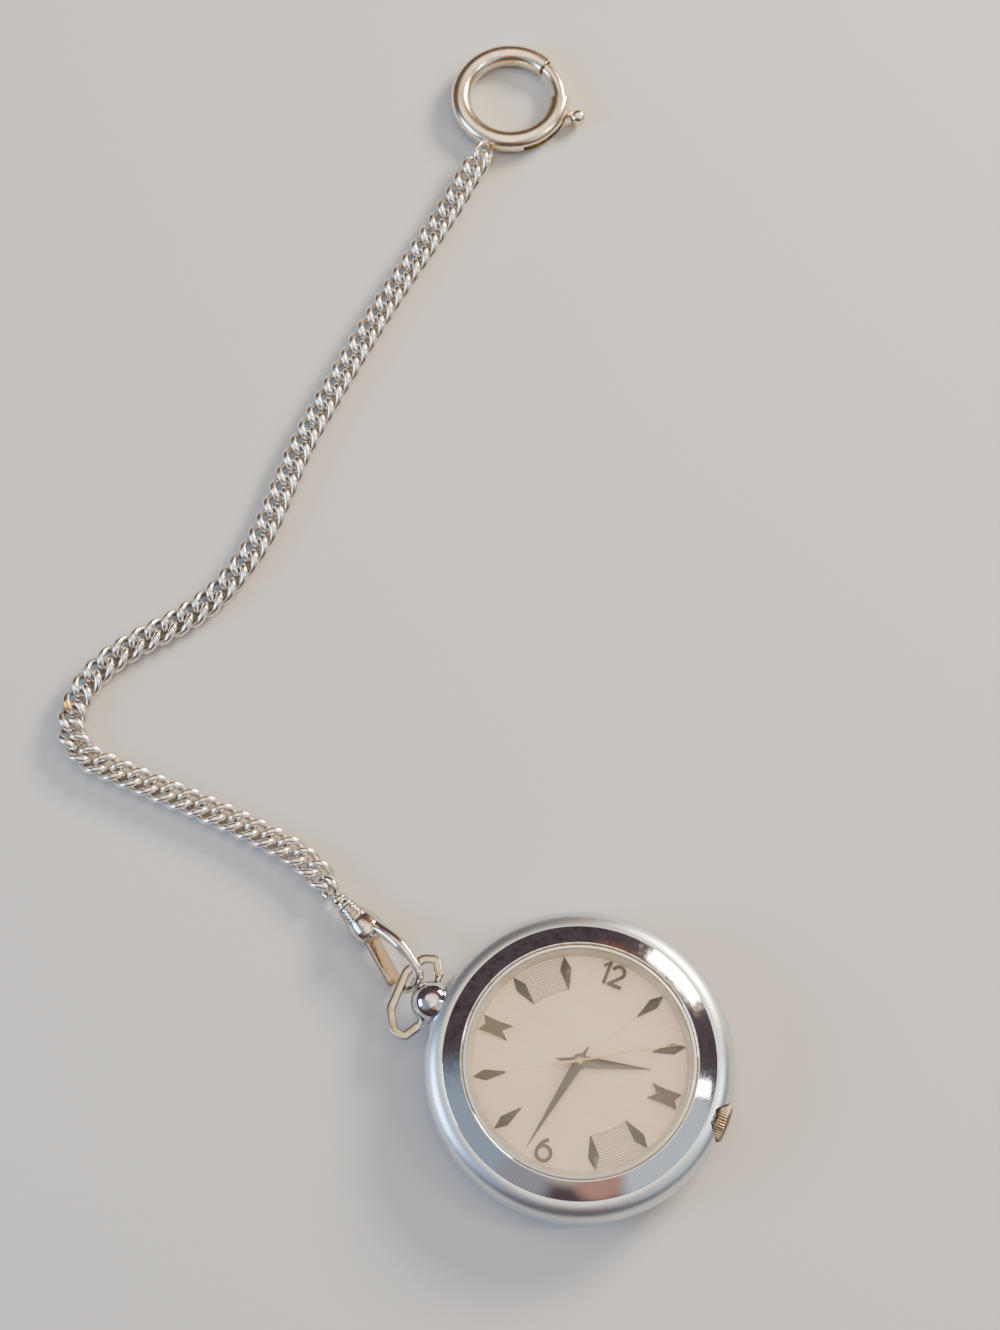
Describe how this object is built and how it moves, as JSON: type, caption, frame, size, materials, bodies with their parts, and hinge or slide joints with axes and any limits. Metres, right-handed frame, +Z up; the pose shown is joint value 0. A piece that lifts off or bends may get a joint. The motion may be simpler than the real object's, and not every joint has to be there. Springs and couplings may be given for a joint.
{
  "type": "pendant watch",
  "caption": "Round open-face pendant watch lying face up, its bow held by a swivel clasp on a curb chain that runs to a large spring ring.",
  "frame": {"origin": "centre of the flat of the case back, which is the face the watch rests on", "axes": "+Z up through the crystal, +Y towards 12 o'clock and along the chain's long run, +X towards the crown at 3 o'clock"},
  "size_m": [0.1036, 0.1589, 0.01],
  "materials": {
    "case_middle": "satin chromed metal, worn and slightly scratched",
    "case_back": "plain satin steel",
    "bezel": "polished chrome with fine wear",
    "crystal": "clear domed acrylic",
    "dial_ring": "cream ring",
    "dial": "silvery champagne with fine brushing",
    "movement": "plain plates",
    "dial_markers": "dark polished",
    "hands": "dark polished",
    "crown_stem": "plain",
    "crown": "worn plating, fine knurl",
    "pendant": "mirror polish",
    "bow": "worn nickel plating",
    "swivel_hook": "worn nickel plating",
    "swivel_gate": "worn nickel plating",
    "swivel_eye": "worn nickel plating",
    "chain": "nickel plated wire, one link worn to the brass",
    "spring_ring": "nickel plating with warm tarnish",
    "spring_bolt": "polished nickel plating"
  },
  "bodies": {
    "watch": {"case_middle": "case_middle", "case_back": "case_back", "bezel": "bezel", "crystal": "crystal", "dial_ring": "dial_ring", "dial": "dial", "movement": "movement", "marker_1": "dial_markers", "marker_2": "dial_markers", "marker_3": "dial_markers", "marker_4": "dial_markers", "marker_5": "dial_markers", "numeral_6": "dial_markers", "marker_7": "dial_markers", "marker_8": "dial_markers", "marker_9": "dial_markers", "marker_10": "dial_markers", "marker_11": "dial_markers", "numeral_12": "dial_markers", "pendant": "pendant", "swivel_hook": "swivel_hook", "swivel_eye": "swivel_eye", "chain": "chain", "spring_ring": "spring_ring"},
    "minute": {"minute_hand": "hands"},
    "hour": {"hour_hand": "hands"},
    "second": {"second_hand": "hands"},
    "stem": {"crown_stem": "crown_stem"},
    "crown": {"crown": "crown"},
    "bow": {"bow": "bow"},
    "gate": {"swivel_gate": "swivel_gate"},
    "bolt": {"spring_bolt": "spring_bolt"}
  },
  "joints": [
    {"name": "minute_turn", "type": "hinge", "parent": "watch", "child": "minute", "pos_m": [0, 0, 0.0073], "axis": [0, 0, -1], "continuous": true},
    {"name": "hour_turn", "type": "hinge", "parent": "watch", "child": "hour", "pos_m": [0, 0, 0.0069], "axis": [0, 0, -1], "continuous": true},
    {"name": "second_turn", "type": "hinge", "parent": "watch", "child": "second", "pos_m": [0, 0, 0.0077], "axis": [0, 0, -1], "continuous": true},
    {"name": "crown_pull", "type": "slide", "parent": "watch", "child": "stem", "axis": [1, 0, 0], "range_m": [0, 0.0008]},
    {"name": "crown_wind", "type": "hinge", "parent": "stem", "child": "crown", "pos_m": [0.01845, 0, 0.0042], "axis": [1, 0, 0], "continuous": true},
    {"name": "bow_swing", "type": "hinge", "parent": "watch", "child": "bow", "pos_m": [-0.021, 0.0004, 0.0042], "axis": [0, 1, 0], "range_deg": [-1.5, 3.5]},
    {"name": "gate_open", "type": "hinge", "parent": "watch", "child": "gate", "pos_m": [-0.03161, 0.00555, 0.00223], "axis": [-0.3769, -0.6044, 0.7018], "range_deg": [0, 6], "stiffness_Nm_per_rad": 0.01, "springref_deg": -17.19},
    {"name": "bolt_slide", "type": "hinge", "parent": "watch", "child": "bolt", "pos_m": [-0.0623, 0.13, 0.00157], "axis": [0, 0, 1], "range_deg": [-55, 0], "stiffness_Nm_per_rad": 0.01, "springref_deg": 28.65}
  ],
  "couplings": [
    {"joint": "hour_turn", "follows": "minute_turn", "ratio": 0.083333}
  ]
}
